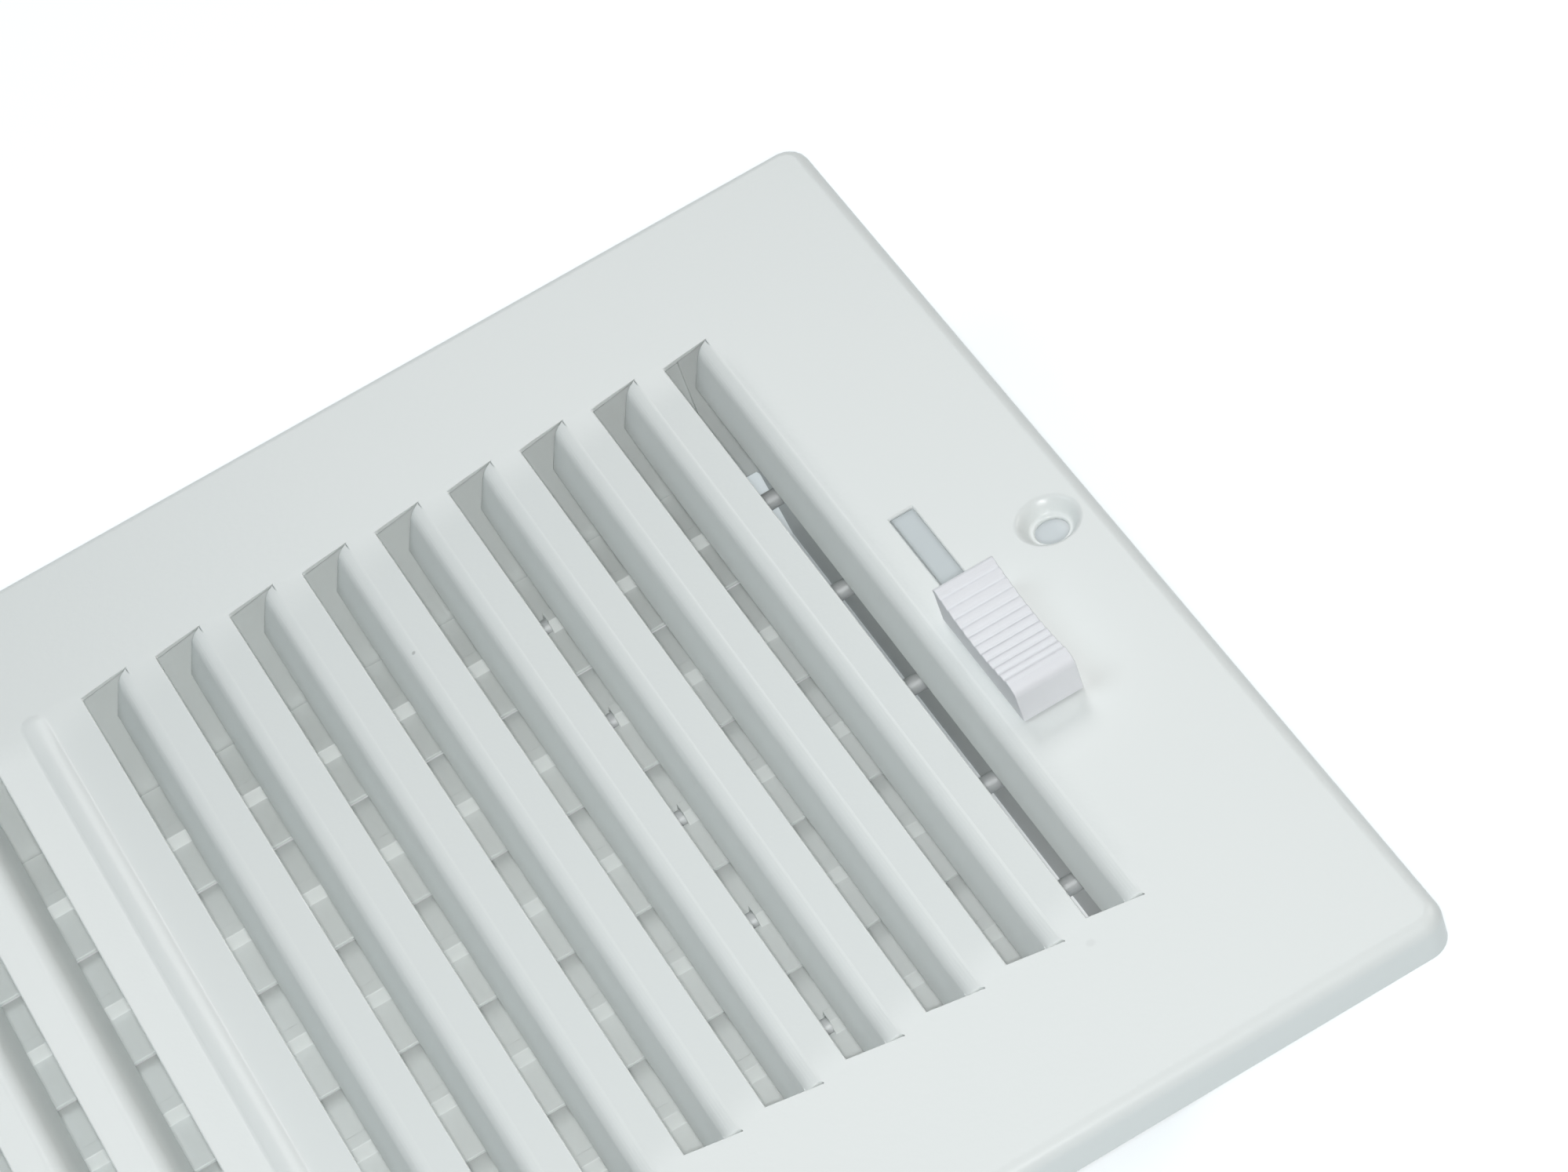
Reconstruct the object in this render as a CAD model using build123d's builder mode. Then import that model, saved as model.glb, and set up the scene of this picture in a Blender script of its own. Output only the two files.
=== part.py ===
from build123d import *
from math import asin, atan2, cos, degrees, radians, sin
import os

# Two-way sidewall register: a stamped face with lanced fins, and a linked shutter damper behind it.
# Millimetres. Origin at the middle of the wall plane, X along the face, Y up the face, Z out of the wall.

# Face plate
sheet = 0.8
rim_depth = 6.6
edge_radius = 2.2
corner_radius = 4.0
side_margin = 31.0
end_margin = 29.6

# Lanced fins, in two mirrored banks
fin_count = 9
fin_pitch = 12.7
fin_gap = 8.4
strip_half_width = 8.2
cut_half_length = 67.2
slit_flare = 1.6
lance_gap = 0.25
fin_radius = 3.0
fin_angle = 65.0
fin_flat = 5.4
fin_flare = 2.4

# Raised bead along the plain strip between the banks
bead_width = 4.6
bead_height = 0.7
bead_overrun = 0.7

# Dished screw holes
screw_inset = 7.9
screw_hole_diameter = 5.2
dimple_diameter = 9.6
dimple_depth = 2.3
dimple_floor = 0.7
dimple_ease = 0.5
dimple_land = 0.3

# Damper box: two rails and two end plates
fold_radius = 0.6
rail_margin = 5.4
rail_flange = 9.0
rail_depth = 28.0
plate_margin = 0.8
corner_flange = 6.4
corner_cut = 8.0
tab_width = 20.0
tab_reach = 9.0
tab_place = 48.0
rear_clearance = 1.6

# Blades and axles
blade_count = 6
blade_sheet = 0.6
blade_overlap = 1.6
blade_side_clearance = 0.4
blade_end_clearance = 6.4
groove_sides = 6
strap_length = 9.0
strap_count = 3
strap_pitch = 72.0
pivot_depth = 23.4
closed_tilt = 5.0
blade_swing = 80.0
axle_diameter = 3.0
axle_overrun = 1.2
fit_clearance = 0.05

# Cranks and operating bar
lever_travel = 20.0
crank_share = 0.98
crank_thickness = 1.2
crank_standoff = 0.6
crank_hub_diameter = 9.0
crank_tip_diameter = 7.0
pin_diameter = 3.0
pin_clearance = 0.5
pin_overrun = 0.9
bar_standoff = 4.9
bar_thickness = 1.2
bar_wall = 2.3
bar_corner = 2.0
bar_tab_length = 6.0
bar_tab_reach = 2.6

# Lever knob
slot_width = 4.0
slot_length = 32.0
slot_clearance = 0.3
stem_length = 8.2
stem_reach = 4.0
knob_lift = 0.3
knob_width = 9.9
knob_length = 24.7
knob_lead = 4.6
knob_end_height = 7.0
knob_dip_height = 4.9
knob_dip_place = 11.9
knob_tail_height = 7.3
knob_nose_radius = 1.6
knob_edge_round = 0.4
rib_count = 12
rib_pitch = 2.0
rib_margin = 0.9
rib_radius = 0.85
rib_height = 0.3

# Places that follow from those sizes
front_z = rim_depth
back_z = front_z - sheet
slit_half_length = cut_half_length + slit_flare
bank_end = strip_half_width + (fin_count - 1) * fin_pitch + fin_gap
face_half_width = bank_end + side_margin
face_half_height = slit_half_length + end_margin
fin_roots = [strip_half_width + fin_gap + number * fin_pitch for number in range(fin_count)]
screw_x = face_half_width - screw_inset

plate_inner_x = bank_end + plate_margin
plate_outer_x = plate_inner_x + sheet
rail_inner_y = slit_half_length + rail_margin
rail_outer_y = rail_inner_y + sheet

row_height = 2 * (rail_inner_y - blade_side_clearance)
blade_pitch = (row_height - blade_overlap) / blade_count
blade_width = blade_pitch + blade_overlap
blade_half_length = plate_inner_x - blade_end_clearance
pivot_ys = [(number - (blade_count - 1) / 2) * blade_pitch for number in range(blade_count)]
pivot_z = -pivot_depth
rail_rear_z = -rail_depth
plate_rear_z = pivot_z - blade_width / 2 - rear_clearance
plate_front_z = back_z - fold_radius - sheet

half_travel = lever_travel / 2
half_swing = radians(blade_swing / 2)
crank_radius = crank_share * half_travel / sin(half_swing)
crank_pin_y = -crank_radius * sin(half_swing)
crank_pin_z = crank_radius * cos(half_swing)
crank_x = plate_outer_x + crank_standoff

lever_x = plate_outer_x + bar_standoff
stem_y = (stem_length - slot_length) / 2 + slot_clearance
stem_bottom_z = back_z - stem_reach
knob_base_z = front_z + knob_lift
bar_x = lever_x - bar_thickness / 2
bar_y = -half_travel
bar_slot_width = pin_diameter + 2 * pin_clearance
bar_slot_rise = crank_radius - crank_pin_z
bar_slot_z = pivot_z + (crank_radius + crank_pin_z) / 2
bar_height = bar_slot_rise + bar_slot_width + 2 * bar_wall
bar_length = pivot_ys[-1] - pivot_ys[0] + bar_slot_width + 2 * bar_wall
bar_tab_top_z = front_z + bar_tab_reach

# One fin, its root at the origin: the sheet rolls down and ends in a flat, with flared ends
with BuildPart() as fin:
    with BuildSketch(Plane.XZ):
        with BuildLine():
            roll = CenterArc((0, -fin_radius), fin_radius, 90, fin_angle)
            PolarLine(roll @ 1, fin_flat, 180 + fin_angle)
            offset(amount=sheet, side=Side.LEFT)
        make_face()
    extrude(amount=slit_half_length, both=True)
    with BuildSketch():
        with BuildLine():
            Polyline(
                (0, lance_gap - slit_half_length),
                (0, slit_half_length - lance_gap),
                (-fin_gap, slit_half_length - lance_gap - fin_flare),
                (-fin_gap, fin_flare + lance_gap - slit_half_length),
                close=True,
            )
        make_face()
    extrude(amount=fin_radius + fin_flat, both=True, mode=Mode.INTERSECT)

# The fins of the right-hand bank
with BuildPart() as fin_bank:
    with Locations(*[(root, 0, front_z) for root in fin_roots]):
        add(fin.part)

# One dished screw hole, its rim at the origin: a cone with an eased rim and a small flat round the hole
dimple_rim = dimple_diameter / 2 + dimple_ease
dimple_foot = screw_hole_diameter / 2 + dimple_floor
dimple_slope = atan2(dimple_depth, dimple_diameter / 2 - dimple_foot)
with BuildPart() as dimple:
    with BuildSketch(Plane.XZ):
        with BuildLine():
            Polyline(
                (dimple_rim + dimple_land, 0),
                (dimple_rim, 0),
                (dimple_diameter / 2 - dimple_ease * cos(dimple_slope), -dimple_ease * sin(dimple_slope)),
                (dimple_foot, -dimple_depth),
                (screw_hole_diameter / 2, -dimple_depth),
            )
            offset(amount=sheet, side=Side.LEFT, kind=Kind.INTERSECTION)
        make_face()
    revolve(axis=Axis.Z)


def bead_form(radius, width, base_z):
    """A bar with an arched section and rounded ends, standing on a plane across the face."""
    half_run = slit_half_length + bead_overrun - bead_width / 2
    centre_z = base_z - (radius**2 - (width / 2) ** 2) ** 0.5
    half_angle = degrees(asin(width / 2 / radius))
    with BuildSketch() as half_section:
        with BuildLine():
            arch = CenterArc((0, centre_z), radius, 90 - half_angle, half_angle)
            Polyline(arch @ 1, (0, base_z), arch @ 0)
        make_face()
    with BuildPart() as form:
        with BuildSketch(Plane.XZ):
            add(half_section.sketch)
            mirror(about=Plane.YZ)
        extrude(amount=half_run, both=True)
        for end in (-half_run, half_run):
            with BuildSketch(Plane.XZ.offset(-end)):
                add(half_section.sketch)
            revolve(axis=Axis((0, end, 0), (0, 0, 1)))
    return form.part


# Arched bead on the front, and its hollow behind with the same centre
bead_radius = ((bead_width / 2) ** 2 + bead_height**2) / (2 * bead_height)
hollow_radius = bead_radius - sheet
hollow_width = 2 * (hollow_radius**2 - (hollow_radius - bead_height) ** 2) ** 0.5
bead_front = bead_form(bead_radius, bead_width, front_z)
bead_hollow = bead_form(hollow_radius, hollow_width, back_z)

with BuildPart() as face_plate:
    with BuildSketch():
        RectangleRounded(2 * face_half_width, 2 * face_half_height, corner_radius)
    extrude(amount=rim_depth)
    fillet(face_plate.faces().sort_by(Axis.Z)[-1].edges(), edge_radius)
    offset(amount=-sheet, openings=face_plate.faces().sort_by(Axis.Z)[0])
    # Slits of both banks, the lever's slot and the openings for the dished holes
    with BuildSketch(Plane.XY.offset(back_z)):
        with Locations(*[(root, 0) for root in fin_roots]):
            Polygon(
                (0, -slit_half_length),
                (0, slit_half_length),
                (-fin_gap, cut_half_length),
                (-fin_gap, -cut_half_length),
                align=None,
            )
        with Locations((screw_x, 0)):
            Circle(dimple_rim + dimple_land)
        mirror(about=Plane.YZ)
        with Locations((lever_x, 0)):
            Rectangle(slot_width, slot_length)
    extrude(amount=sheet, mode=Mode.SUBTRACT)
    add(fin_bank.part)
    mirror(fin_bank.part, about=Plane.YZ)
    with Locations((-screw_x, 0, front_z), (screw_x, 0, front_z)):
        add(dimple.part)
    add(bead_front)
    add(bead_hollow, mode=Mode.SUBTRACT)

with BuildPart() as upper_rail:
    with BuildSketch(Plane.YZ):
        with BuildLine():
            FilletPolyline(
                (rail_outer_y + rail_flange, back_z),
                (rail_inner_y, back_z),
                (rail_inner_y, rail_rear_z),
                radius=fold_radius + sheet,
            )
            offset(amount=sheet, side=Side.LEFT)
        make_face()
    extrude(amount=plate_inner_x, both=True)

with BuildPart() as lower_rail:
    mirror(upper_rail.part, about=Plane.XZ)

with BuildPart() as right_end_plate:
    # Web and two corner flanges, folded from one strip
    with BuildSketch(Plane.XY.offset(plate_rear_z)):
        with BuildLine():
            FilletPolyline(
                (plate_outer_x - corner_flange, rail_inner_y),
                (plate_outer_x, rail_inner_y),
                (plate_outer_x, -rail_inner_y),
                (plate_outer_x - corner_flange, -rail_inner_y),
                radius=fold_radius + sheet,
            )
            offset(amount=sheet, side=Side.RIGHT)
        make_face()
    extrude(amount=plate_front_z - plate_rear_z)
    # Rear corners cut off where the rails end
    with BuildSketch(Plane.YZ.offset(plate_outer_x - corner_flange)):
        Polygon(
            (rail_inner_y, rail_rear_z),
            (rail_inner_y, plate_rear_z),
            (rail_inner_y - corner_cut, plate_rear_z),
            align=None,
        )
        mirror(about=Plane.YZ)
    extrude(amount=corner_flange, mode=Mode.SUBTRACT)
    # Tabs turned outwards on to the back of the face
    for place in (-tab_place, tab_place):
        with BuildSketch(Plane.XZ.offset(-place)):
            with BuildLine():
                FilletPolyline(
                    (plate_inner_x, plate_front_z - sheet),
                    (plate_inner_x, back_z),
                    (plate_outer_x + tab_reach, back_z),
                    radius=fold_radius + sheet,
                )
                offset(amount=sheet, side=Side.RIGHT)
            make_face()
        extrude(amount=tab_width / 2, both=True)
    with BuildSketch(Plane.YZ.offset(plate_inner_x)):
        with Locations(*[(pivot_y, pivot_z) for pivot_y in pivot_ys]):
            Circle(axle_diameter / 2 + fit_clearance)
    extrude(amount=sheet, mode=Mode.SUBTRACT)

with BuildPart() as left_end_plate:
    mirror(right_end_plate.part, about=Plane.YZ)

# One blade, flat, its axle's line along X: a pressed groove arches over the axle, straps pass behind it
groove_inner = axle_diameter / 2 + fit_clearance
groove_outer = groove_inner + blade_sheet
groove_width = 2 * groove_outer / cos(radians(180 / groove_sides))
strap_xs = [(number - (strap_count - 1) / 2) * strap_pitch for number in range(strap_count)]
with BuildPart() as blade_form:
    with BuildSketch(Plane.YZ):
        Rectangle(blade_width, blade_sheet)
        RegularPolygon(groove_outer, groove_sides, major_radius=False)
        RegularPolygon(groove_inner, groove_sides, major_radius=False, mode=Mode.SUBTRACT)
        with Locations((0, -blade_sheet / 2)):
            Rectangle(groove_width, groove_outer, align=(Align.CENTER, Align.MAX), mode=Mode.SUBTRACT)
    extrude(amount=blade_half_length, both=True)
    with Locations(*[(strap_x, 0, 0) for strap_x in strap_xs]):
        Box(strap_length, groove_width, 2 * groove_outer, mode=Mode.SUBTRACT)
    for strap_x in strap_xs:
        with BuildSketch(Plane.YZ.offset(strap_x)):
            Rectangle(groove_width + blade_sheet, blade_sheet)
            RegularPolygon(groove_outer, groove_sides, major_radius=False)
            RegularPolygon(groove_inner, groove_sides, major_radius=False, mode=Mode.SUBTRACT)
            with Locations((0, blade_sheet / 2)):
                Rectangle(groove_width, groove_outer, align=(Align.CENTER, Align.MIN), mode=Mode.SUBTRACT)
        extrude(amount=strap_length / 2, both=True)

# One axle: a rod through both end plates and the crank
axle_start_x = -plate_outer_x - axle_overrun
axle_tip_x = crank_x + crank_thickness + axle_overrun
with BuildPart() as axle_form:
    with BuildSketch(Plane.YZ.offset(axle_start_x)):
        Circle(axle_diameter / 2)
    extrude(amount=axle_tip_x - axle_start_x)

# One crank, as it stands with the blade shut: an arm on the end of the axle, with a pin for the bar
with BuildPart() as crank_form:
    with BuildSketch(Plane.YZ.offset(crank_x)):
        Circle(crank_hub_diameter / 2)
        with Locations((crank_pin_y, crank_pin_z)):
            Circle(crank_tip_diameter / 2)
        make_hull()
        Circle(axle_diameter / 2 + fit_clearance, mode=Mode.SUBTRACT)
    extrude(amount=crank_thickness)
    with BuildSketch(Plane.YZ.offset(crank_x + crank_thickness)):
        with Locations((crank_pin_y, crank_pin_z)):
            Circle(pin_diameter / 2)
    extrude(amount=lever_x + bar_thickness / 2 + pin_overrun - crank_x - crank_thickness)

with BuildPart() as operating_bar:
    with BuildSketch(Plane.YZ.offset(bar_x)):
        with Locations((bar_y, bar_slot_z)):
            RectangleRounded(bar_length, bar_height, bar_corner)
        with Locations((stem_y, bar_slot_z)):
            Rectangle(stem_length, stem_bottom_z - bar_slot_z, align=(Align.CENTER, Align.MIN))
        with Locations((stem_y, stem_bottom_z)):
            Rectangle(bar_tab_length, bar_tab_top_z - stem_bottom_z, align=(Align.CENTER, Align.MIN))
        with Locations(*[(bar_y + pivot_y, bar_slot_z) for pivot_y in pivot_ys]):
            Rectangle(bar_slot_width, bar_slot_rise + bar_slot_width, mode=Mode.SUBTRACT)
    extrude(amount=bar_thickness)

knob_head_y = stem_y + knob_lead
knob_tail_y = knob_head_y - knob_length
with BuildPart() as lever_knob:
    # Side view: a dished top with cross ribs and a rounded tail
    with BuildSketch(Plane.YZ.offset(lever_x - knob_width / 2)) as knob_side:
        with BuildLine():
            dish = ThreePointArc(
                (knob_head_y, knob_base_z + knob_end_height),
                (knob_head_y - knob_dip_place, knob_base_z + knob_dip_height),
                (knob_tail_y, knob_base_z + knob_tail_height),
            )
            Polyline(dish @ 1, (knob_tail_y, knob_base_z), (knob_head_y, knob_base_z), dish @ 0)
        make_face()
        fillet(knob_side.vertices().group_by(Axis.X)[0].sort_by(Axis.Y)[-1], knob_nose_radius)
        fillet(knob_side.vertices().group_by(Axis.X)[-1].sort_by(Axis.Y)[-1], knob_edge_round)
        rib_feet = [dish @ ((rib_margin + number * rib_pitch) / dish.length) for number in range(rib_count)]
        with Locations(*[(foot.X, foot.Y + rib_height - rib_radius) for foot in rib_feet]):
            Circle(rib_radius)
    extrude(amount=knob_width)
    # Stem through the slot, with a pocket for the bar's tab
    with BuildSketch(Plane.XY.offset(knob_base_z)):
        with Locations((lever_x, stem_y)):
            Rectangle(slot_width - 2 * slot_clearance, stem_length)
    extrude(amount=stem_bottom_z - knob_base_z)
    with BuildSketch(Plane.XY.offset(stem_bottom_z)):
        with Locations((lever_x, stem_y)):
            Rectangle(bar_thickness + 2 * fit_clearance, bar_tab_length + 2 * fit_clearance)
    extrude(amount=bar_tab_top_z - stem_bottom_z, mode=Mode.SUBTRACT)

pieces = {
    "face_plate": face_plate.part,
    "upper_rail": upper_rail.part,
    "lower_rail": lower_rail.part,
    "left_end_plate": left_end_plate.part,
    "right_end_plate": right_end_plate.part,
    "operating_bar": operating_bar.part,
    "lever_knob": lever_knob.part,
}

# The linked row: each blade is shut with its lower edge tilted towards the face
for number, pivot_y in enumerate(pivot_ys, start=1):
    with BuildPart() as blade:
        with Locations(Location((0, pivot_y, pivot_z), (-closed_tilt, 0, 0))):
            add(blade_form.part)
    with BuildPart() as axle:
        with Locations((0, pivot_y, pivot_z)):
            add(axle_form.part)
    with BuildPart() as crank:
        with Locations((0, pivot_y, pivot_z)):
            add(crank_form.part)
    pieces[f"blade_{number}"] = blade.part
    pieces[f"axle_{number}"] = axle.part
    pieces[f"crank_{number}"] = crank.part

os.makedirs("parts", exist_ok=True)
for name, piece in pieces.items():
    piece.label = name
    export_step(piece, f"parts/{name}.step")
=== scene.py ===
"""Looks of a two-way sidewall register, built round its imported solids.

Sizes are metres in the part's own frame: X along the face towards the lever, Y up the face, Z out of the wall.
"""

import logging
import math
from dataclasses import dataclass
from enum import Enum

import bmesh
import bpy
from mathutils import Matrix, Vector


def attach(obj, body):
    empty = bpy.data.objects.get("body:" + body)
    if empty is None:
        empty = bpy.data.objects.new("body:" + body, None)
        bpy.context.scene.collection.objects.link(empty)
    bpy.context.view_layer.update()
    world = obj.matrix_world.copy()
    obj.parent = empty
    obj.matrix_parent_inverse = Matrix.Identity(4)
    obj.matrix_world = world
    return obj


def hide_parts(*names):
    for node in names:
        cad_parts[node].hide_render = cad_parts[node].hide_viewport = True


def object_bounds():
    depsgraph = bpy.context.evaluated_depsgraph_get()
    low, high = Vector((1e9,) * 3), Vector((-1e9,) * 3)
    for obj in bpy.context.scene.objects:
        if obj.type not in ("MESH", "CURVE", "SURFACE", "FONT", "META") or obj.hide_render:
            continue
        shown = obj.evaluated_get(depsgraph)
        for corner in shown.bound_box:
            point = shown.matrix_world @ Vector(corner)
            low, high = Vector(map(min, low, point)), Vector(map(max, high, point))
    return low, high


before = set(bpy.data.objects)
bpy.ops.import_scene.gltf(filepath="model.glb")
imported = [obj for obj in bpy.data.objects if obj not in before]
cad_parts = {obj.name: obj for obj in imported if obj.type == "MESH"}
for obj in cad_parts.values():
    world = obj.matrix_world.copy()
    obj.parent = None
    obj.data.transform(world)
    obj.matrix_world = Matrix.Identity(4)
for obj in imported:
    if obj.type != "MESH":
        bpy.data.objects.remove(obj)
cad_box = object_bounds()

log = logging.getLogger("register")

MM = 0.001
PHOTO_WIDTH_PX = 1999
SENSOR_WIDTH_MM = 36.0

# Sizes of the face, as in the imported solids
FIN_COUNT = 9
FIN_PITCH = 12.7 * MM
FIN_GAP = 8.4 * MM
FIRST_ROOT = 16.6 * MM
SLIT_HALF_LENGTH = 68.8 * MM
BEAD_HALF_WIDTH = 2.3 * MM
FACE_HEIGHT = 6.6 * MM

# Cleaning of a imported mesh
WELD_DISTANCE = 0.002 * MM
FLAT_DEG = 0.4

# Sockets and patterns of the surface groups
NUMBER = "NodeSocketFloat"
COLOUR = "NodeSocketColor"
SURFACE_INPUTS = {
    "Tone": COLOUR, "Drift Tone": COLOUR, "Drift Scale": NUMBER, "Relief Scale": NUMBER,
    "Roughness": NUMBER, "Roughness Spread": NUMBER,
}
SURFACE_OUTPUTS = {"Color": COLOUR, "Roughness": NUMBER, "Height": NUMBER}
DRIFT_DETAIL = 3.0
PEEL_DETAIL = 2.0
GRAIN_DETAIL = 4.0
GRAIN_STRETCH = (0.06, 1.0, 1.0)
NOISE_MIDDLE = 0.5
DUST_TONE = (0.05, 0.05, 0.05, 1.0)
DUST_CORE = 0.4
WHITE = (1.0, 1.0, 1.0, 1.0)


class Slot(Enum):
    """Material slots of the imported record."""

    ENAMEL = "white_enamel"
    ZINC = "zinc_steel"
    PLASTIC = "white_plastic"


class Side(Enum):
    """The two sides of the part's middle, as signs along an axis."""

    LEFT = -1
    RIGHT = 1


# Shader helpers


def add_node(tree: bpy.types.NodeTree, kind: str, **settings: object) -> bpy.types.Node:
    """Adds a shader node.

    Args:
        tree: The node tree that gets it.
        kind: The node's type name.
        settings: Attributes to set on the node.

    Returns:
        The new node.
    """
    node = tree.nodes.new(kind)
    for key, value in settings.items():
        setattr(node, key, value)
    return node


def feed(tree: bpy.types.NodeTree, value: object, target: bpy.types.NodeSocket) -> None:
    """Links a socket to an input, or sets the input to a plain value.

    Args:
        tree: The node tree of both.
        value: The socket, number or colour.
        target: The input.
    """
    if isinstance(value, bpy.types.NodeSocket):
        tree.links.new(value, target)
    else:
        target.default_value = value


def object_place(tree: bpy.types.NodeTree) -> bpy.types.NodeSocket:
    """Returns the socket of the piece's own coordinates."""
    return add_node(tree, "ShaderNodeTexCoord").outputs["Object"]


def math_node(tree: bpy.types.NodeTree, operation: str, *values: object) -> bpy.types.NodeSocket:
    """Adds a Math node.

    Args:
        tree: The node tree that gets it.
        operation: The operation's name.
        values: Socket or number of each input, in order.

    Returns:
        The result's socket.
    """
    node = add_node(tree, "ShaderNodeMath", operation=operation)
    for socket, value in zip(node.inputs, values):
        feed(tree, value, socket)
    return node.outputs[0]


def ramp(
    tree: bpy.types.NodeTree,
    value: bpy.types.NodeSocket,
    stretch: tuple[float, float],
    limits: tuple[float, float] = (0.0, 1.0),
) -> bpy.types.NodeSocket:
    """Adds a smooth ramp.

    Args:
        tree: The node tree that gets it.
        value: Socket of the distance that it follows.
        stretch: Distances at which the ramp starts and ends.
        limits: Its values there.

    Returns:
        The ramp's socket.
    """
    node = add_node(tree, "ShaderNodeMapRange", interpolation_type="SMOOTHSTEP")
    feed(tree, value, node.inputs["Value"])
    node.inputs["From Min"].default_value, node.inputs["From Max"].default_value = stretch
    node.inputs["To Min"].default_value, node.inputs["To Max"].default_value = limits
    return node.outputs["Result"]


def blend(tree: bpy.types.NodeTree, share: bpy.types.NodeSocket, first: object, second: object) -> bpy.types.NodeSocket:
    """Mixes two colours.

    Args:
        tree: The node tree that gets the mix.
        share: Socket of the second colour's share.
        first: Socket or value of the first colour.
        second: Socket or value of the second colour.

    Returns:
        The mixed colour's socket.
    """
    node = add_node(tree, "ShaderNodeMix", data_type="RGBA")
    for label, value in {"Factor": share, "A": first, "B": second}.items():
        feed(tree, value, node.inputs[label])
    return node.outputs["Result"]


def noise(
    tree: bpy.types.NodeTree, place: bpy.types.NodeSocket, scale: bpy.types.NodeSocket, detail: float
) -> bpy.types.NodeSocket:
    """Adds a noise texture.

    Args:
        tree: The node tree that gets it.
        place: Socket of the texture's coordinates.
        scale: Socket of its scale, in cells per metre.
        detail: Number of finer layers.

    Returns:
        The socket of its value from 0 to 1.
    """
    node = add_node(tree, "ShaderNodeTexNoise", noise_dimensions="3D")
    for label, value in {"Vector": place, "Scale": scale, "Detail": detail}.items():
        feed(tree, value, node.inputs[label])
    return node.outputs[0]


def new_group(name: str) -> bpy.types.NodeTree:
    """Makes an empty node group with the sockets of a surface.

    Args:
        name: The group's name.

    Returns:
        The group, with its input and output nodes in place.
    """
    group = bpy.data.node_groups.new(name, "ShaderNodeTree")
    for direction, sockets in (("INPUT", SURFACE_INPUTS), ("OUTPUT", SURFACE_OUTPUTS)):
        for label, kind in sockets.items():
            group.interface.new_socket(label, in_out=direction, socket_type=kind)
    group.nodes.new("NodeGroupInput")
    group.nodes.new("NodeGroupOutput")
    return group


def wire_surface(
    group: bpy.types.NodeTree,
    drift: bpy.types.NodeSocket,
    gloss: bpy.types.NodeSocket,
    relief: bpy.types.NodeSocket,
) -> None:
    """Turns three patterns into a group's colour, roughness and height.

    Args:
        group: The node group.
        drift: Socket of the pattern that shifts the tone.
        gloss: Socket of the pattern that shifts the roughness.
        relief: Socket of the fine relief.
    """
    given, made = group.nodes["Group Input"].outputs, group.nodes["Group Output"].inputs
    feed(group, blend(group, drift, given["Tone"], given["Drift Tone"]), made["Color"])
    swing = math_node(group, "MULTIPLY", math_node(group, "SUBTRACT", gloss, NOISE_MIDDLE), given["Roughness Spread"])
    feed(group, math_node(group, "ADD", swing, given["Roughness"]), made["Roughness"])
    feed(group, relief, made["Height"])


def coat_group() -> None:
    """Makes the group for a sprayed or moulded surface: slow tone drift, uneven gloss and fine peel."""
    group = new_group("coat_surface")
    given = group.nodes["Group Input"].outputs
    place = object_place(group)
    drift = noise(group, place, given["Drift Scale"], DRIFT_DETAIL)
    peel = noise(group, place, given["Relief Scale"], PEEL_DETAIL)
    wire_surface(group, drift, drift, peel)


def plate_group() -> None:
    """Makes the group for rolled, zinc-plated steel: grain along X and cloudy spangle."""
    group = new_group("plated_steel")
    given = group.nodes["Group Input"].outputs
    place = object_place(group)
    stretch = add_node(group, "ShaderNodeMapping")
    stretch.inputs["Scale"].default_value = GRAIN_STRETCH
    feed(group, place, stretch.inputs["Vector"])
    grain = noise(group, stretch.outputs["Vector"], given["Relief Scale"], GRAIN_DETAIL)
    cloud = noise(group, place, given["Drift Scale"], DRIFT_DETAIL)
    wire_surface(group, cloud, grain, grain)


# Finishes


@dataclass(frozen=True)
class Speck:
    """A speck of dust caught in the paint.

    Attributes:
        place: Its centre, in metres.
        radius: Its radius, in metres.
        strength: How far it darkens the paint, from 0 to 1.
    """

    place: tuple[float, float, float]
    radius: float
    strength: float

    def darken(self, tree: bpy.types.NodeTree, colour: bpy.types.NodeSocket) -> bpy.types.NodeSocket:
        """Darkens a colour at the speck.

        Args:
            tree: The material's node tree.
            colour: Socket of the colour.

        Returns:
            Socket of the darkened colour.
        """
        reach = add_node(tree, "ShaderNodeVectorMath", operation="DISTANCE")
        feed(tree, object_place(tree), reach.inputs[0])
        feed(tree, self.place, reach.inputs[1])
        stretch = (DUST_CORE * self.radius, self.radius)
        share = ramp(tree, reach.outputs["Value"], stretch, (self.strength, 0.0))
        return blend(tree, share, colour, DUST_TONE)


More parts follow.
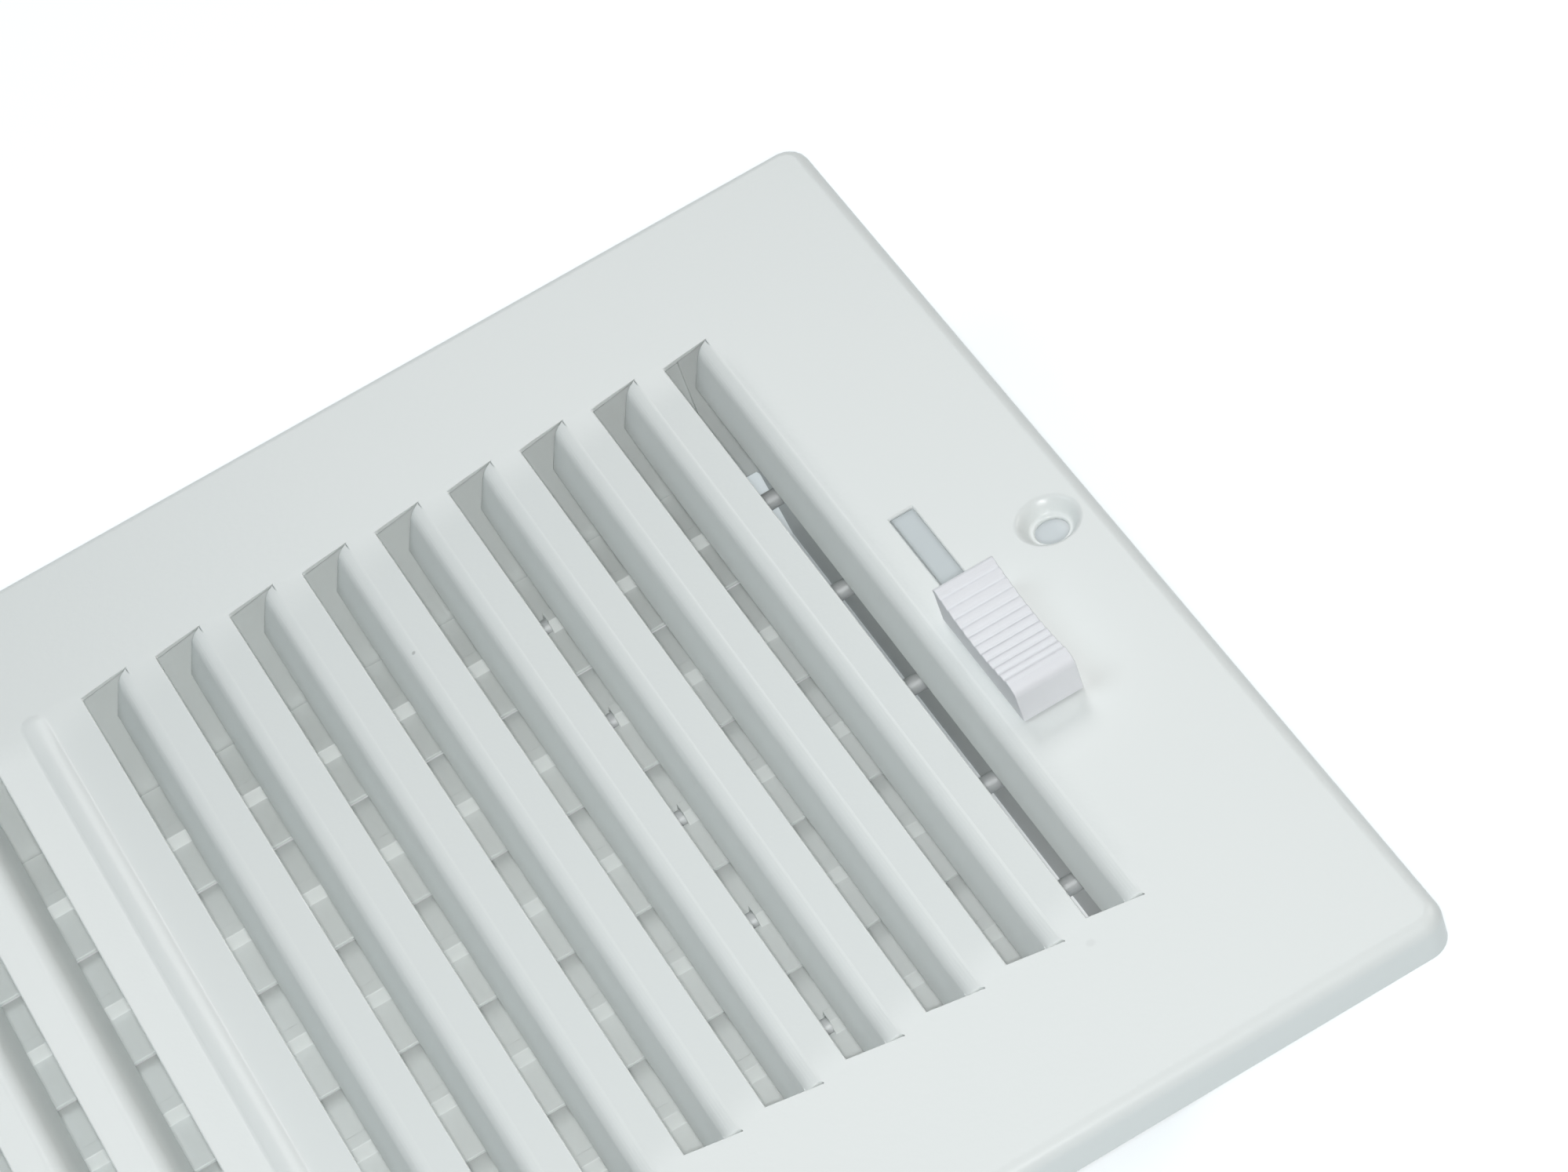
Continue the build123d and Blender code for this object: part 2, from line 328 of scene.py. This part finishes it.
@dataclass(frozen=True)
class Coating:
    """A finish of one even colour with slow drift and fine relief.

    Attributes:
        name: The material's name.
        group: Name of the node group that varies it.
        tone: Linear colour.
        drift: Linear colour that the tone drifts towards.
        drift_scale: Cells of drift per metre.
        relief_scale: Cells of fine relief per metre.
        relief_depth: Depth of the relief, in metres.
        roughness: Middle roughness.
        roughness_spread: Spread of the roughness.
        metallic: Metallic share.
        specks: Specks of dust in it.
    """

    name: str
    group: str
    tone: tuple[float, float, float]
    drift: tuple[float, float, float]
    drift_scale: float
    relief_scale: float
    relief_depth: float
    roughness: float
    roughness_spread: float
    metallic: float = 0.0
    specks: tuple[Speck, ...] = ()

    def material(self) -> bpy.types.Material:
        """Builds the material.

        Returns:
            The new material.
        """
        material = bpy.data.materials.new(self.name)
        material.use_nodes = True
        tree = material.node_tree
        shader = tree.nodes["Principled BSDF"]
        surface = add_node(tree, "ShaderNodeGroup", node_tree=bpy.data.node_groups[self.group])
        settings = {
            "Tone": (*self.tone, 1.0), "Drift Tone": (*self.drift, 1.0), "Drift Scale": self.drift_scale,
            "Relief Scale": self.relief_scale, "Roughness": self.roughness, "Roughness Spread": self.roughness_spread,
        }
        for label, value in settings.items():
            surface.inputs[label].default_value = value
        colour = surface.outputs["Color"]
        for speck in self.specks:
            colour = speck.darken(tree, colour)
        feed(tree, colour, shader.inputs["Base Color"])
        feed(tree, surface.outputs["Roughness"], shader.inputs["Roughness"])
        shader.inputs["Metallic"].default_value = self.metallic
        bump = add_node(tree, "ShaderNodeBump")
        bump.inputs["Strength"].default_value = 1.0
        bump.inputs["Distance"].default_value = self.relief_depth
        feed(tree, surface.outputs["Height"], bump.inputs["Height"])
        feed(tree, bump.outputs["Normal"], shader.inputs["Normal"])
        return material


FINISHES = {
    Slot.ENAMEL: Coating(
        name="baked_enamel", group="coat_surface",
        tone=(0.845, 0.875, 0.858), drift=(0.825, 0.865, 0.855), drift_scale=14.0,
        relief_scale=900.0, relief_depth=0.02 * MM, roughness=0.32, roughness_spread=0.02,
        specks=(
            Speck(place=(0.0537, 0.0416, 0.0058), radius=0.45 * MM, strength=0.36),
            Speck(place=(0.1081, -0.0715, 0.0066), radius=0.9 * MM, strength=0.07),
        ),
    ),
    Slot.ZINC: Coating(
        name="zinc_plate", group="plated_steel",
        tone=(0.74, 0.76, 0.76), drift=(0.66, 0.68, 0.69), drift_scale=160.0,
        relief_scale=2600.0, relief_depth=0.015 * MM, roughness=0.56, roughness_spread=0.16, metallic=0.3,
    ),
    Slot.PLASTIC: Coating(
        name="moulded_plastic", group="coat_surface",
        tone=(0.89, 0.9, 0.93), drift=(0.875, 0.885, 0.915), drift_scale=60.0,
        relief_scale=2400.0, relief_depth=0.012 * MM, roughness=0.46, roughness_spread=0.08,
    ),
}


# Modelling helpers


def activate(piece: bpy.types.Object) -> None:
    """Selects one object alone and makes it active."""
    bpy.ops.object.select_all(action="DESELECT")
    piece.select_set(True)
    bpy.context.view_layer.objects.active = piece


def smooth(piece: bpy.types.Object, crease_deg: float) -> None:
    """Shades a piece smooth below an angle, with the flat faces kept flat.

    Args:
        piece: The finished mesh.
        crease_deg: Angle above which an edge stays sharp.
    """
    activate(piece)
    bpy.ops.object.shade_smooth_by_angle(angle=math.radians(crease_deg))
    bpy.ops.object.modifier_add(type="WEIGHTED_NORMAL")
    weighting = piece.modifiers[-1]
    weighting.keep_sharp = True
    bpy.ops.object.modifier_apply(modifier=weighting.name)


def ease(share: float) -> float:
    """Returns a share, held between 0 and 1, with a soft start and end."""
    held = min(1.0, max(0.0, share))
    return held * held * (3.0 - 2.0 * held)


# Pieces


@dataclass
class FormedPiece:
    """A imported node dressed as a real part: its edges eased, its curves smooth and its finish on.

    Attributes:
        node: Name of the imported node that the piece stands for.
        body: Name of the body that it rides on.
        slot: The record's slot that it takes its finish from.
        edge: Width of the eased edges, in metres.
        shortest: Edges shorter than this stay sharp, in metres.
        crease_deg: Angle from which an edge is eased.
        segments: Steps across an eased edge.
    """

    node: str
    body: str
    slot: Slot
    edge: float
    shortest: float = 0.3 * MM
    crease_deg: float = 38.0
    segments: int = 2

    def build(self, materials: dict[Slot, bpy.types.Material]) -> None:
        """Makes the piece and puts it in the node's place.

        Args:
            materials: The material of each slot.
        """
        piece = bpy.data.objects.new(f"{self.node}_formed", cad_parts[self.node].data.copy())
        bpy.context.scene.collection.objects.link(piece)
        activate(piece)
        bpy.ops.object.mode_set(mode="EDIT")
        bpy.ops.mesh.select_all(action="SELECT")
        bpy.ops.mesh.remove_doubles(threshold=WELD_DISTANCE)
        bpy.ops.mesh.dissolve_limited(angle_limit=math.radians(FLAT_DEG))
        self.shape(piece)
        self.select_edges(piece)
        bpy.ops.mesh.bevel(offset=self.edge, segments=self.segments, affect="EDGES", clamp_overlap=False)
        bpy.ops.object.mode_set(mode="OBJECT")
        smooth(piece, self.crease_deg)
        piece.data.materials.clear()
        piece.data.materials.append(materials[self.slot])
        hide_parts(self.node)
        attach(piece, self.body)
        log.info("%s rides on %s", piece.name, self.body)

    def shape(self, piece: bpy.types.Object) -> None:
        """Forms the mesh further before its edges are eased; a plain piece stays as it is.

        Args:
            piece: The mesh, in edit mode.
        """

    def select_edges(self, piece: bpy.types.Object) -> None:
        """Selects the edges to ease: those at a sharp corner that are long enough.

        Args:
            piece: The mesh, in edit mode.
        """
        bpy.ops.mesh.select_mode(type="EDGE")
        bpy.ops.mesh.select_all(action="DESELECT")
        mesh = bmesh.from_edit_mesh(piece.data)
        for line in mesh.edges:
            sharp = len(line.link_faces) == 2 and line.calc_face_angle() > math.radians(self.crease_deg)
            line.select_set(sharp and line.calc_length() > self.shortest)
        bmesh.update_edit_mesh(piece.data)


@dataclass
class LancedFace(FormedPiece):
    """The stamped sheet, whose strips slope down towards the fins as the press pulls them.

    Attributes:
        strip_drop: How far a strip lies lower at its fin's root than at its cut edge, in metres.
        margin_drop: The same for the plain margin beside the outermost fin, in metres.
        margin_reach: How far into the margin that slope goes, in metres.
        bead_share: Share of the centre bead's height that the thick paint leaves.
        fade: Length at each end of the slits over which the slope dies away, in metres.
        steps: Cuts across the fade and across the margin's slope.
        fin_start: Strip widths past a fin's root from which a point belongs to the next fin.
        tolerance: Distance within which a point is on a cut, in metres.
    """

    strip_drop: float = 0.72 * MM
    margin_drop: float = 0.2 * MM
    margin_reach: float = 2.6 * MM
    bead_share: float = 0.5
    fade: float = 8.8 * MM
    steps: int = 4
    fin_start: float = 1.2
    tolerance: float = 0.001 * MM

    def shape(self, piece: bpy.types.Object) -> None:
        """Cuts the sheet along the strips and lowers it towards the fins.

        Args:
            piece: The mesh, in edit mode.
        """
        roots = [FIRST_ROOT + number * FIN_PITCH for number in range(FIN_COUNT)]
        slope = [roots[-1] + self.margin_reach * step / self.steps for step in range(1, self.steps + 1)]
        columns = [*roots, *[root + FIN_PITCH - FIN_GAP for root in roots[:-1]], *slope]
        rows = [SLIT_HALF_LENGTH - self.fade * step / self.steps for step in range(self.steps + 1)]
        for side in Side:
            for column in columns:
                self.cut(Vector((side.value * column, 0.0, 0.0)))
            for row in rows:
                self.cut(Vector((0.0, side.value * row, 0.0)))
        mesh = bmesh.from_edit_mesh(piece.data)
        for point in mesh.verts:
            point.co.z -= self.drop(abs(point.co.x), abs(point.co.y))
            if abs(point.co.x) < BEAD_HALF_WIDTH and point.co.z > FACE_HEIGHT:
                point.co.z = FACE_HEIGHT + self.bead_share * (point.co.z - FACE_HEIGHT)
        bmesh.update_edit_mesh(piece.data)

    def cut(self, place: Vector) -> None:
        """Cuts the mesh by an upright plane that faces the origin.

        Args:
            place: Point of the plane nearest to the origin.
        """
        bpy.ops.mesh.select_all(action="SELECT")
        bpy.ops.mesh.bisect(plane_co=place, plane_no=place.normalized(), threshold=self.tolerance)

    def drop(self, along: float, up: float) -> float:
        """Works out how far a point of the sheet is lowered.

        Args:
            along: Its distance from the middle of the face, in metres.
            up: Its distance above or below the middle, in metres.

        Returns:
            The drop, in metres.
        """
        last = FIN_COUNT - 1
        strip = FIN_PITCH - FIN_GAP
        number = math.floor((along - FIRST_ROOT + self.tolerance) / FIN_PITCH)
        past_root = along - FIRST_ROOT - number * FIN_PITCH
        deepest = 0.0
        if number < last and past_root > self.fin_start * strip:
            deepest = self.margin_drop if number + 1 == last else self.strip_drop
        elif number == last:
            deepest = self.margin_drop * max(0.0, 1.0 - past_root / self.margin_reach) ** 2
        elif 0 <= number < last:
            deepest = self.strip_drop * max(0.0, 1.0 - past_root / strip)
        return deepest * ease((SLIT_HALF_LENGTH - up) / self.fade)


@dataclass
class FacePlate:
    """The stamped face with its fins, bead and dished screw holes.

    Attributes:
        edge: Rounding that the paint leaves on cut edges, in metres.
    """

    edge: float = 0.28 * MM

    def pieces(self) -> list[FormedPiece]:
        """Returns the face as one formed sheet."""
        return [LancedFace("face_plate", "frame", Slot.ENAMEL, self.edge)]


@dataclass
class DamperBox:
    """The two rails and two end plates behind the face.

    Attributes:
        edge: Rounding of the sheets' edges, in metres.
    """

    edge: float = 0.16 * MM

    def pieces(self) -> list[FormedPiece]:
        """Returns the four sheets of the box."""
        nodes = ["upper_rail", "lower_rail", *[f"{side.name.lower()}_end_plate" for side in Side]]
        return [FormedPiece(node, "frame", Slot.ENAMEL, self.edge) for node in nodes]


@dataclass
class Shutter:
    """One blade with its axle and crank.

    Attributes:
        number: Its place in the row, counted from below.
        blade_edge: Rounding of the blade's edges, in metres.
        axle_edge: Rounding of the axle's ends, in metres.
        crank_edge: Rounding of the crank's edges, in metres.
        facet: Edges of the axle and crank shorter than this stay sharp, in metres.
        axle_steps: Steps across the axle's rounding.
    """

    number: int
    blade_edge: float = 0.12 * MM
    axle_edge: float = 0.35 * MM
    crank_edge: float = 0.16 * MM
    facet: float = 0.1 * MM
    axle_steps: int = 3

    def pieces(self) -> list[FormedPiece]:
        """Returns the shutter's three pieces."""
        body = f"shutter_{self.number}"
        return [
            FormedPiece(f"blade_{self.number}", body, Slot.ENAMEL, self.blade_edge),
            FormedPiece(
                f"axle_{self.number}", body, Slot.ZINC, self.axle_edge, shortest=self.facet, segments=self.axle_steps
            ),
            FormedPiece(f"crank_{self.number}", body, Slot.ZINC, self.crank_edge, shortest=self.facet),
        ]


@dataclass
class LeverControl:
    """The operating bar and the thumb lever on it.

    Attributes:
        bar_edge: Rounding of the bar's edges, in metres.
        knob_edge: Rounding of the moulding's edges, in metres.
        knob_facet: Edges of the moulding shorter than this stay sharp, in metres.
        knob_steps: Steps across its rounding.
    """

    bar_edge: float = 0.16 * MM
    knob_edge: float = 0.18 * MM
    knob_facet: float = 0.12 * MM
    knob_steps: int = 3

    def pieces(self) -> list[FormedPiece]:
        """Returns the bar and the knob."""
        return [
            FormedPiece("operating_bar", "lever", Slot.ZINC, self.bar_edge),
            FormedPiece(
                "lever_knob", "lever", Slot.PLASTIC, self.knob_edge, shortest=self.knob_facet, segments=self.knob_steps
            ),
        ]


# Studio


@dataclass(frozen=True)
class Lamp:
    """A soft area lamp aimed at the face.

    Attributes:
        name: Its name.
        place: Where it stands, in metres.
        size: Side of its square, in metres.
        power: Its power, in watts.
        tint: Its linear colour.
    """

    name: str
    place: tuple[float, float, float]
    size: float
    power: float
    tint: tuple[float, float, float]

    def build(self, aim: Vector) -> None:
        """Makes the lamp.

        Args:
            aim: The point that it faces.
        """
        light = bpy.data.lights.new(self.name, "AREA")
        light.shape = "SQUARE"
        light.size = self.size
        light.energy = self.power
        light.color = self.tint
        lamp = bpy.data.objects.new(self.name, light)
        lamp.location = self.place
        lamp.rotation_euler = (aim - Vector(self.place)).to_track_quat("-Z", "Y").to_euler()
        bpy.context.scene.collection.objects.link(lamp)


@dataclass
class Studio:
    """The camera, lamps and pale floor round the part.

    Attributes:
        aim: Point of the face at the middle of the picture, in metres.
        distance: Distance from the camera to that point, in metres.
        azimuth_deg: Turn of the camera round Z, from -Y towards +X.
        elevation_deg: Height of the camera above the face's plane.
        roll_deg: Lean of the picture's upright to the right.
        focal_px: Focal length in the photograph's pixels.
        clip: Nearest and farthest distance that the camera sees, in metres.
        floor_size: Side of the floor, in metres.
        floor_tone: Linear colour of the floor.
        floor_roughness: Its roughness.
        floor_glow: Strength of the floor's white.
        painted_shade_half: Half sizes of the damper box's foot, round which the floor gets a painted shade, in metres.
        painted_shade_inner: Stretch inside that foot over which the painted shade starts, as distances from its edge.
        painted_shade_outer: Stretch outside it over which the painted shade ends, under the face's edge.
        painted_shade_near: Stretch along Y over which the painted shade ends towards the camera.
        painted_shade_glow: Strength of the floor's white in the painted shade.
        ambient: Strength of the even light from all round.
        ambient_tint: Linear colour of that light.
        lamps: The lamps.
    """

    aim: tuple[float, float, float] = (0.10425, 0.01483, 0.0066)
    distance: float = 0.78458
    azimuth_deg: float = -11.300
    elevation_deg: float = 45.891
    roll_deg: float = 21.720
    focal_px: float = 6838.0
    clip: tuple[float, float] = (0.01, 100.0)
    floor_size: float = 12.0
    floor_tone: tuple[float, float, float] = (0.76, 0.83, 0.86)
    floor_roughness: float = 0.9
    floor_glow: float = 0.5
    # Painted shade on the floor between the damper box's foot and the face's edge
    painted_shade_half: tuple[float, float] = (0.118, 0.075)
    painted_shade_inner: tuple[float, float] = (-0.006, 0.0)
    painted_shade_outer: tuple[float, float] = (0.042, 0.034)
    painted_shade_near: tuple[float, float] = (-0.045, 0.03)
    painted_shade_glow: float = 0.1
    ambient: float = 0.11
    ambient_tint: tuple[float, float, float] = (0.97, 0.99, 1.0)
    lamps: tuple[Lamp, ...] = (
        Lamp("camera_lamp", place=(-0.004, -0.528, 0.577), size=0.02, power=2.95, tint=(1.0, 1.0, 1.0)),
        Lamp("back_lamp", place=(0.345, 0.92, 1.0), size=0.54, power=2.8, tint=(0.98, 0.99, 1.0)),
        Lamp("left_lamp", place=(-0.5, 0.2, 1.0), size=0.6, power=2.75, tint=(0.86, 0.95, 1.0)),
        Lamp("right_lamp", place=(1.3, 0.16, 0.91), size=0.6, power=3.1, tint=(1.0, 0.98, 0.94)),
    )

    def build(self) -> None:
        """Sets up the whole studio."""
        self.place_camera()
        self.lay_floor()
        self.set_world()
        for lamp in self.lamps:
            lamp.build(Vector(self.aim))
        bpy.context.scene.view_settings.view_transform = "Standard"

    def place_camera(self) -> None:
        """Makes the camera at the photograph's viewing angle."""
        turn, rise, lean = (math.radians(angle) for angle in (self.azimuth_deg, self.elevation_deg, self.roll_deg))
        back = Vector((math.sin(turn) * math.cos(rise), -math.cos(turn) * math.cos(rise), math.sin(rise)))
        level = Vector((0.0, 0.0, 1.0)).cross(back).normalized()
        upright = back.cross(level)
        right = level * math.cos(lean) - upright * math.sin(lean)
        up = upright * math.cos(lean) + level * math.sin(lean)
        data = bpy.data.cameras.new("view_camera")
        data.sensor_width = SENSOR_WIDTH_MM
        data.lens = SENSOR_WIDTH_MM * self.focal_px / PHOTO_WIDTH_PX
        data.clip_start, data.clip_end = self.clip
        camera = bpy.data.objects.new("view_camera", data)
        place = Vector(self.aim) + back * self.distance
        camera.matrix_world = Matrix.Translation(place) @ Matrix((right, up, back)).transposed().to_4x4()
        bpy.context.scene.collection.objects.link(camera)
        bpy.context.scene.camera = camera

    def lay_floor(self) -> None:
        """Lays the floor under the part, white to the camera, with the part's shadow on it and a painted shade under
        the face's edge.
        """
        bpy.ops.object.select_all(action="DESELECT")
        bpy.ops.mesh.primitive_plane_add(size=self.floor_size, location=(0.0, 0.0, cad_box[0].z))
        floor = bpy.context.active_object
        floor.name = "floor"
        material = bpy.data.materials.new("pale_floor")
        material.use_nodes = True
        tree = material.node_tree
        shader = tree.nodes["Principled BSDF"]
        shader.inputs["Base Color"].default_value = (*self.floor_tone, 1.0)
        shader.inputs["Roughness"].default_value = self.floor_roughness
        shader.inputs["Emission Color"].default_value = WHITE
        feed(tree, self.glow(tree), shader.inputs["Emission Strength"])
        floor.data.materials.append(material)

    def glow(self, tree: bpy.types.NodeTree) -> bpy.types.NodeSocket:
        """Gives the floor's glow: full elsewhere, and turned down as a painted shade between the damper box and the
        face's edge.

        Args:
            tree: The floor's node tree.

        Returns:
            Socket of the strength.
        """
        place = add_node(tree, "ShaderNodeSeparateXYZ")
        feed(tree, object_place(tree), place.inputs[0])
        past = [
            math_node(tree, "SUBTRACT", math_node(tree, "ABSOLUTE", place.outputs[axis]), half)
            for axis, half in zip("XY", self.painted_shade_half)
        ]
        reach = math_node(tree, "MAXIMUM", *past)
        # Painted shade: the floor's white is turned down round the box's foot, under the face's edge, and faded out
        # towards the camera
        shade = math_node(tree, "MULTIPLY", ramp(tree, reach, self.painted_shade_inner), ramp(tree, reach, self.painted_shade_outer))
        shade = math_node(tree, "MULTIPLY", shade, ramp(tree, place.outputs["Y"], self.painted_shade_near))
        painted_shade_loss = math_node(tree, "MULTIPLY", shade, self.floor_glow - self.painted_shade_glow)
        return math_node(tree, "MULTIPLY", self.seen(tree), math_node(tree, "SUBTRACT", self.floor_glow, painted_shade_loss))

    def set_world(self) -> None:
        """Makes the even light, and the white that the camera sees behind the part."""
        world = bpy.data.worlds.new("studio_world")
        world.use_nodes = True
        bpy.context.scene.world = world
        tree = world.node_tree
        light = tree.nodes["Background"]
        light.inputs["Color"].default_value = (*self.ambient_tint, 1.0)
        light.inputs["Strength"].default_value = self.ambient
        white = add_node(tree, "ShaderNodeBackground")
        white.inputs["Color"].default_value = WHITE
        mix = add_node(tree, "ShaderNodeMixShader")
        for socket, source in zip(mix.inputs, (self.seen(tree), light.outputs[0], white.outputs[0])):
            feed(tree, source, socket)
        feed(tree, mix.outputs[0], tree.nodes["World Output"].inputs["Surface"])

    def seen(self, tree: bpy.types.NodeTree) -> bpy.types.NodeSocket:
        """Gives 1 on rays that show the background.

        Args:
            tree: The node tree that needs it.

        Returns:
            Socket of the value.
        """
        path = add_node(tree, "ShaderNodeLightPath")
        camera, glossy, through = (path.outputs[f"Is {kind} Ray"] for kind in ("Camera", "Glossy", "Transmission"))
        return math_node(tree, "MAXIMUM", math_node(tree, "MAXIMUM", camera, glossy), through)


def main() -> None:
    """Builds the finishes, the dressed pieces and the studio."""
    logging.basicConfig(level=logging.INFO, format="%(message)s")
    coat_group()
    plate_group()
    materials = {slot: finish.material() for slot, finish in FINISHES.items()}
    shutters = sum(name.startswith("blade_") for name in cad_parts)
    assemblies = [FacePlate(), DamperBox(), LeverControl(), *[Shutter(number) for number in range(1, shutters + 1)]]
    for assembly in assemblies:
        for part in assembly.pieces():
            part.build(materials)
    Studio().build()


if __name__ == "__main__":
    main()
